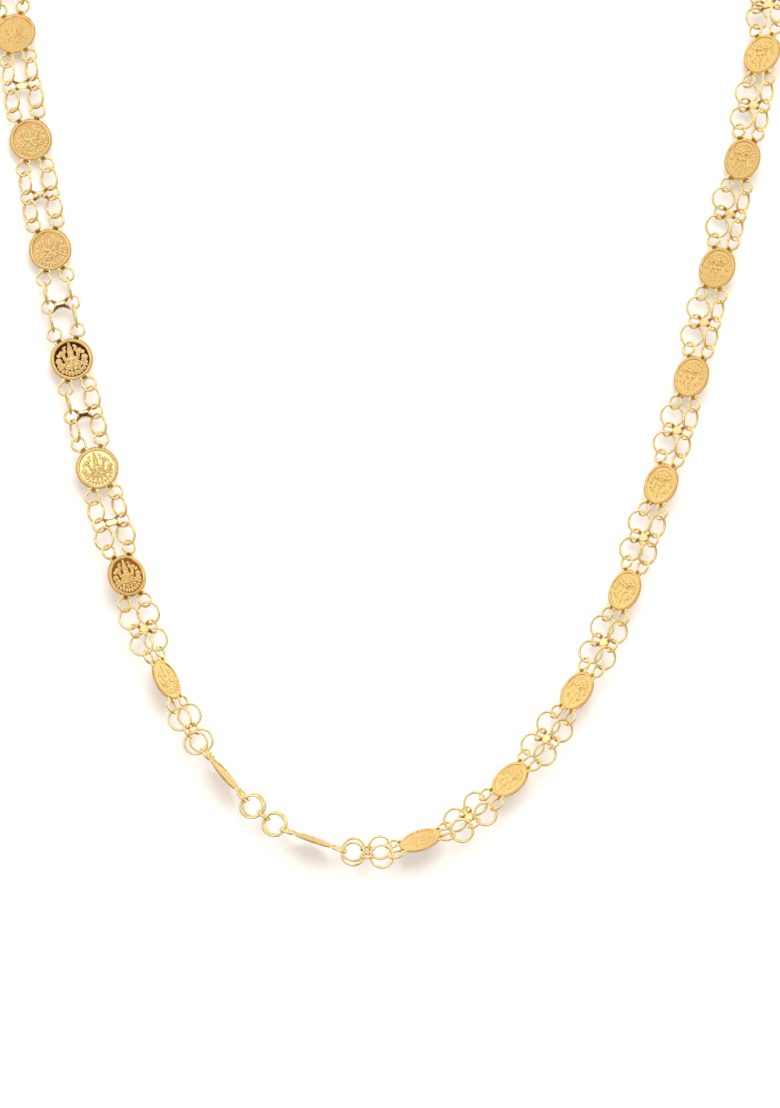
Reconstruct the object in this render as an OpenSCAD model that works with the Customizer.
// Two-row coin chain necklace, a closed loop held as it is worn.
// Struck coins with four small loops, jump rings and bridge links take turns along the loop.
// Origin at the nape, in the middle of the clasp; +Z up, the front of the neck towards -Y,
// +X to the viewer's right. Millimetres.

/* [Coin] */
// Diameter of a coin over its milled edge
coin_d = 8; // [7.9:0.1:8]
// Half the thickness of the milled edge
edge_h = 0.2; // [0.18:0.01:0.22]
// Height of the rounded rim above the middle of the coin
rim_h = 0.3; // [0.27:0.01:0.32]
// Width of the rounded rim
rim_w = 0.56; // [0.5:0.02:0.6]
// Height of the sunk field above the middle of the coin
field_h = 0.1; // [0.08:0.01:0.12]
// Number of ridges on the milled edge
ridges = 68; // [60:4:76]
// Depth of a ridge
ridge_depth = 0.1; // [0.06:0.01:0.12]
// Thickness of the low parts of the figure above the field
relief_low = 0.09; // [0.06:0.01:0.12]
// Thickness of the high parts of the figure above the field
relief_high = 0.16; // [0.12:0.01:0.18]

/* [Links] */
// Thickness of all the round wire
wire_d = 0.5; // [0.45:0.01:0.5]
// Centreline radius of the small loops on coins and bridge links
loop_r = 1.25; // [1.24:0.01:1.26]
// Centreline radius of the jump rings
ring_r = 2.06; // [2.06:0.01:2.1]
// How far a coin's loops stand out from its middle, along the chain
loop_out = 5.1; // [5.08:0.01:5.1]
// Half the distance between the two rows of loops on a coin
coin_row = 2.2; // [2.19:0.01:2.21]
// Half the distance between the two small rings of a bridge link
link_row = 2.25; // [2.24:0.01:2.26]
// Half the height of a bridge link's web at its waist
web_waist = 0.74; // [0.6:0.02:0.8]
// Thickness of a bridge link's web
web_t = 0.4; // [0.3:0.02:0.44]

/* [Clasp] */
// Length of the clasp body along the chain
clasp_l = 7.5; // [7.5:0.1:7.6]
// Width of the clasp body across the two rows
clasp_w = 7.2; // [6.6:0.1:7.4]
// Thickness of the clasp body
clasp_t = 1.9; // [1.6:0.1:2]

/* [Hidden] */
$fn = 48;
coins = 32;
gaps = coins + 1;
items = 2 * gaps;
last_left = 16;
coin_r = coin_d / 2;
coin_reach = loop_out + loop_r;
link_reach = loop_r;
rim_mid = coin_r - 0.5;
field_r = coin_r - 0.75;
// Solder at the root of a loop: how far it reaches into the coin and out of it,
// half its width at the coin and at the loop, and its thickness.
solder_in = 0.4;
solder_out = 0.42;
solder_root = 1;
solder_tip = 0.84;
solder_t = 0.32;
// Bridge link's web: half its length, and how much higher it is at its ends than at its waist.
web_half = 1.16;
web_flare = 0.2;
// Clasp: radius of its corners, the step of its face, and the face's share of the outline.
corner_r = 1.4;
face_step = 0.5;
face_share = 0.92;

function two(i) = str(i < 10 ? "0" : "", i);
coin_names = [for (i = [1:coins]) str("coin_", two(i))];

// The way of the chain, one row for each turning point: x, y, z, then the way the coins face.
// It starts at the nape, goes down the viewer's left, round the bottom and up the right.
path = [
    [0, 0, 0, 0, 1, 0.2],
    [-28, -4, -0.5, -0.5, 0.9, 0.3],
    [-52, -18, -4, -0.9, 0.4, 0.3],
    [-65.5, -39, -11, -1, 0.05, 0.3],
    [-72.5, -62.5, -22.5, -1, -0.25, 0.3],
    [-72.5, -84, -40, -0.75, -0.7, 0.15],
    [-69.5, -97.5, -62.5, -0.17, -1, 0],
    [-62.5, -103, -104, 0, -1, 0],
    [-53.5, -106.5, -145, 0.13, -1, 0],
    [-41, -109.5, -183, 0.8, -0.5, 0.38],
    [-30.5, -110.5, -200.5, 0.8, -0.12, 0.6],
    [-14.5, -111.5, -213, 0.37, -0.04, 0.92],
    [5, -111.5, -213.5, -0.25, -0.42, 0.9],
    [22, -110.5, -202, -0.65, -0.6, 0.5],
    [34.5, -109, -185.5, -0.7, -0.6, 0.3],
    [50, -106.5, -147.5, -0.66, -0.72, 0.2],
    [60.5, -103, -107.5, -0.6, -0.79, 0.1],
    [69.5, -99, -65, -0.56, -0.82, 0],
    [71.5, -86.5, -43.5, -0.2, -1, 0.15],
    [69.5, -64, -27, 0.6, -0.8, 0.3],
    [61.5, -41, -14, 1, -0.15, 0.3],
    [48, -19, -5, 0.9, 0.4, 0.3],
    [27.5, -4.5, -0.5, 0.5, 0.9, 0.3]
];

// How far the four jump rings of a gap lean from the plane of the loops, in degrees:
// gap number, then outer and inner ring before the bridge link, outer and inner ring after it.
lean_default = [52, 52, 52, 52];
lean = [
    [7, 60, 60, 60, 60],
    [8, 50, 52, 48, 46],
    [9, 58, 44, 52, 46],
    [10, 92, 88, 88, 86],
    [11, 84, 48, 72, 52],
    [12, 54, 66, 58, 62],
    [13, 58, 56, 60, 56],
    [14, 72, 66, 80, 76],
    [15, 88, 86, 84, 84],
    [16, 82, 80, 66, 66],
    [17, 62, 58, 58, 56],
    [18, 70, 52, 76, 52],
    [19, 80, 50, 84, 48],
    [20, 88, 46, 90, 46],
    [21, 92, 44, 92, 44],
    [22, 95, 44, 95, 44],
    [23, 95, 47, 95, 47],
    [24, 92, 46, 90, 48],
    [25, 80, 52, 76, 56],
    [26, 66, 66, 64, 64],
    [27, 62, 62, 60, 60],
    [28, 60, 60, 56, 56]
];

// The smooth curve through the rows of the path.
rows = len(path);
steps = 24;
function wrap(i) = (i + rows) % rows;
function xyz(r) = [r[0], r[1], r[2]];
function facing(r) = [r[3], r[4], r[5]];
function unit(v) = v / norm(v);
spans = [for (i = [0:rows - 1]) norm(xyz(path[wrap(i + 1)]) - xyz(path[i]))];
slopes = [
    for (i = [0:rows - 1])
        let (h0 = spans[wrap(i - 1)], h1 = spans[i])
        let (back = (path[i] - path[wrap(i - 1)]) / h0)
        let (ahead = (path[wrap(i + 1)] - path[i]) / h1)
        (back * h1 + ahead * h0) / (h0 + h1)
];
function between(i, u) =
    (2 * u ^ 3 - 3 * u ^ 2 + 1) * path[i]
    + (u ^ 3 - 2 * u ^ 2 + u) * spans[i] * slopes[i]
    + (3 * u ^ 2 - 2 * u ^ 3) * path[wrap(i + 1)]
    + (u ^ 3 - u ^ 2) * spans[i] * slopes[wrap(i + 1)];
curve = concat([for (i = [0:rows - 1]) for (k = [0:steps - 1]) between(i, k / steps)], [path[0]]);
last = len(curve) - 1;
run = [
    for (
        i = 0, s = 0;
        i <= last;
        s = s + (i < last ? norm(xyz(curve[i + 1]) - xyz(curve[i])) : 0), i = i + 1
    ) [s, i]
];
loop_length = run[last][0];
function sample(s) =
    let (t = lookup(s - loop_length * floor(s / loop_length), run), i = min(floor(t), last - 1))
    curve[i] + (curve[i + 1] - curve[i]) * (t - i);

// A seat on the curve for a piece that reaches half its length each way:
// middle, direction along the chain, direction of its face, direction of the outer row.
function seat(s, half) =
    let (a = sample(s - half), b = sample(s + half), f = facing(sample(s)))
    let (along = unit(xyz(b) - xyz(a)))
    let (face = unit(f - along * (f * along)))
    [(xyz(a) + xyz(b)) / 2, along, face, cross(along, face)];

// Even items are coins (item 0 is the clasp), odd items are bridge links.
function half_of(k) = k % 2 == 0 ? coin_reach : link_reach;
function row_of(k) = k % 2 == 0 ? coin_row : link_row;
function end_of(s, k, way, side) = s[0] + way * half_of(k) * s[1] + side * row_of(k) * s[3];
function pull(a, ka, b, kb, side) = norm(end_of(b, kb, -1, side) - end_of(a, ka, 1, side));
function next(k) = (k + 1) % items;
function total(v, i = 0) = i < len(v) ? v[i] + total(v, i + 1) : 0;

// Moves the pieces along the curve until the tighter row of every gap is pulled equally far.
function settle(at) =
    let (s = [for (k = [0:items - 1]) seat(at[k], half_of(k))])
    let (r = [for (k = [0:items - 1])
        let (j = next(k)) max(pull(s[k], k, s[j], j, 1), pull(s[k], k, s[j], j, -1))])
    let (mean = total(r) / items)
    [for (
        k = 0, a = 0;
        k < items;
        a = a + (k + 1 < items ? at[k + 1] - at[k] - r[k] + mean : 0), k = k + 1
    ) a];
even = [for (k = [0:items - 1]) k * loop_length / items];
places = settle(settle(settle(even)));
seats = [for (k = [0:items - 1]) seat(places[k], half_of(k))];

// A coin's own frame: +X to the inner row, +Y back along the chain, +Z out of its face.
module on(s) {
    m = [for (i = [0:2]) [-s[3][i], -s[1][i], s[2][i], s[0][i]]];
    multmatrix(m) children();
}

function polar(r, a) = [r * cos(a), r * sin(a)];

// The same points below the X axis, in reverse, to close an outline.
function underside(p) = [for (i = [len(p) - 1:-1:0]) [p[i][0], -p[i][1]]];

// The coin's blank: a milled outline with a sunk field on both faces.
module milled_edge() {
    step = 360 / ridges;
    outline = [
        for (i = [0:ridges - 1])
            for (p = [0, 1]) polar(coin_r - p * ridge_depth, (i + p / 2) * step)
    ];
    difference() {
        linear_extrude(2 * edge_h, center = true) polygon(outline);
        translate([0, 0, field_h]) cylinder(r = field_r, h = 1);
        translate([0, 0, -field_h - 1]) cylinder(r = field_r, h = 1);
    }
}

// The raised rim. Its profile is given in shares of half its width and of its height.
module rim() {
    profile = [[1, 0.2], [0.9, 0.68], [0.45, 1], [-0.45, 1], [-0.9, 0.68], [-1, 0.2]];
    upper = [for (p = profile) [rim_mid + p[0] * rim_w / 2, p[1] * rim_h]];
    rotate_extrude($fn = 96) polygon(concat(upper, underside(upper)));
}

// The right half of an outline and its mirror image.
function mirrored(p) =
    concat(p, [for (i = [len(p) - 1:-1:0]) if (p[i][0] > 0.001) [-p[i][0], p[i][1]]]);

// A raised part of the relief, h above the field.
module slab(points, h) {
    linear_extrude(field_h + h) polygon(points);
}

// A rounded part of the relief: the top of a ball of radius r whose middle lies sink below
// the field. The ball is cut off at the middle of the coin, so the back stays plain.
module dome(x, y, r, sink) {
    translate([x, y])
        intersection() {
            translate([0, 0, field_h - sink]) sphere(r = r);
            cylinder(r = 2 * r, h = field_h + r);
        }
}

// A flat flower with a raised middle.
module flower(p, r, petals) {
    notch = 0.62 * r;
    middle = 0.4 * r;
    outline = [
        for (i = [0:2 * petals - 1])
            p + polar(i % 2 == 0 ? r : notch, 90 + i * 180 / petals)
    ];
    slab(outline, relief_low);
    slab([for (a = [0:72:288]) p + polar(middle, a)], relief_high);
}

// A seated goddess with a tall pointed crown, raised hands, two flowers on each side
// and crossed legs. The outlines are the right half of each part, from the coin's middle.
module seated_figure() {
    crown = [[0, 3], [0.12, 2.5], [0.24, 2.3], [0.34, 1.85], [0.46, 1.4], [0.38, 1]];
    body = [[0.2, 0.5], [0.78, 0.32], [0.66, -0.05], [0.38, -0.5], [0.6, -1]];
    raised_arm = [[0.62, 0.3], [1.18, 0.06], [1.3, 0.82], [1.58, 0.8], [1.42, -0.28], [0.6, 0]];
    low_arm = [[0.45, -0.1], [1.28, -0.66], [1.14, -0.88], [0.36, -0.36]];
    stem = [[1.5, -1.3], [2.3, -0.36], [2.42, -0.44], [1.66, -1.38]];
    legs = [[1.3, -0.96], [1.52, -1.2], [1.3, -1.46]];
    slab(mirrored(crown), relief_high);
    slab(mirrored(body), relief_high - 0.02);
    slab(mirrored(legs), relief_high - 0.05);
    dome(0, 0.74, 0.46, 0.26);
    for (m = [-1, 1]) {
        slab([for (p = raised_arm) [m * p[0], p[1]]], relief_high - 0.01);
        slab([for (p = low_arm) [m * p[0], p[1]]], relief_high - 0.04);
        slab([for (p = stem) [m * p[0], p[1]]], 0.8 * relief_low);
        flower([m * 1.6, 1.16], 0.5, 5);
        flower([m * 2.42, -0.1], 0.48, 4);
        dome(m * 1.22, -1.2, 0.27, 0.1);
    }
}

// A half round of petals under the figure.
module lotus_seat() {
    petals = 7;
    notch = 2.2;
    tip = 2.62;
    start = -142;
    sweep = 104;
    edge = [
        for (i = [0:petals - 1])
            for (p = [[0, notch], [0.5, tip]]) polar(p[1], start + (i + p[0]) * sweep / petals)
    ];
    slab(concat(edge, [polar(notch, start + sweep), [1.1, -1.2], [-1.1, -1.2]]), relief_low);
}

// A closed ring of round wire.
module loop(r) {
    rotate_extrude($fn = 64) translate([r, 0]) circle(d = wire_d, $fn = 24);
}

// Solder between the edge of a coin and the root of a loop, in the direction a.
module solder(a) {
    inner = coin_r - solder_in;
    outer = coin_r + solder_out;
    rotate([0, 0, a])
        linear_extrude(solder_t, center = true)
            polygon([
                [inner, -solder_root], [outer, -solder_tip], [outer, solder_tip], [inner, solder_root]
            ]);
}

// Runs its children at the four places of the loops on a coin or the clasp.
module at_corners() {
    for (x = [-1, 1]) for (y = [-1, 1]) {
        $corner = [x * coin_row, y * loop_out];
        children();
    }
}

// A struck coin with its four soldered loops.
module coin() {
    color([0.93, 0.75, 0.43])
        union() {
            milled_edge();
            rim();
            lotus_seat();
            seated_figure();
            at_corners() {
                translate($corner) loop(loop_r);
                solder(atan2($corner[1], $corner[0]));
            }
        }
}

// The clasp, one plain piece with two loops at each end.
module clasp() {
    middle = [clasp_w / 2 - corner_r, clasp_l / 2 - corner_r];
    upper = mirrored([for (a = [0:15:90]) middle + polar(corner_r, a)]);
    outline = concat(upper, [for (p = upper) -p]);
    color([0.95, 0.78, 0.42])
        on(seats[0])
            union() {
                linear_extrude(clasp_t - face_step, center = true) polygon(outline);
                linear_extrude(clasp_t, center = true) polygon(outline * face_share);
                at_corners() translate($corner) loop(loop_r);
            }
}

function leans(g) =
    let (f = [for (r = lean) if (r[0] == g) [r[1], r[2], r[3], r[4]]])
    len(f) > 0 ? f[0] : lean_default;

// The jump ring between item k and the next one, in the outer (1) or the inner (-1) row,
// leaning by a from the plane of the loops.
module jump_ring(k, side, a) {
    s = seats[k];
    t = seats[next(k)];
    p = end_of(s, k, 1, side);
    q = end_of(t, next(k), -1, side);
    along = unit(q - p);
    f = s[2] + t[2];
    face = unit(f - along * (f * along));
    axis = cos(a) * face + sin(a) * cross(along, face);
    cross_way = cross(axis, along);
    mid = (p + q) / 2;
    m = [for (i = [0:2]) [along[i], cross_way[i], axis[i], mid[i]]];
    multmatrix(m) loop(ring_r);
}

module jump_rings(first, final) {
    color([0.98, 0.82, 0.4])
        for (g = [first:final]) {
            a = leans(g);
            for (n = [0:3]) jump_ring(2 * g + (n < 2 ? 0 : 1), n % 2 == 0 ? 1 : -1, a[n]);
        }
}

// Two small rings joined by a waisted web.
module bridge_link() {
    upper = [for (x = [-1:0.5:1]) [x * web_half, web_waist + web_flare * x ^ 2]];
    union() {
        for (x = [-1, 1]) translate([x * link_row, 0]) loop(loop_r);
        linear_extrude(web_t, center = true) polygon(concat(upper, underside(upper)));
    }
}

module bridge_links(first, final) {
    color([0.97, 0.8, 0.42])
        for (g = [first:final]) on(seats[2 * g + 1]) bridge_link();
}

for (i = [1:coins]) on(seats[2 * i]) coin();
clasp();
jump_rings(0, last_left);  // jump_rings_left
jump_rings(last_left + 1, gaps - 1);  // jump_rings_right
bridge_links(0, last_left);  // bridge_links_left
bridge_links(last_left + 1, gaps - 1);  // bridge_links_right
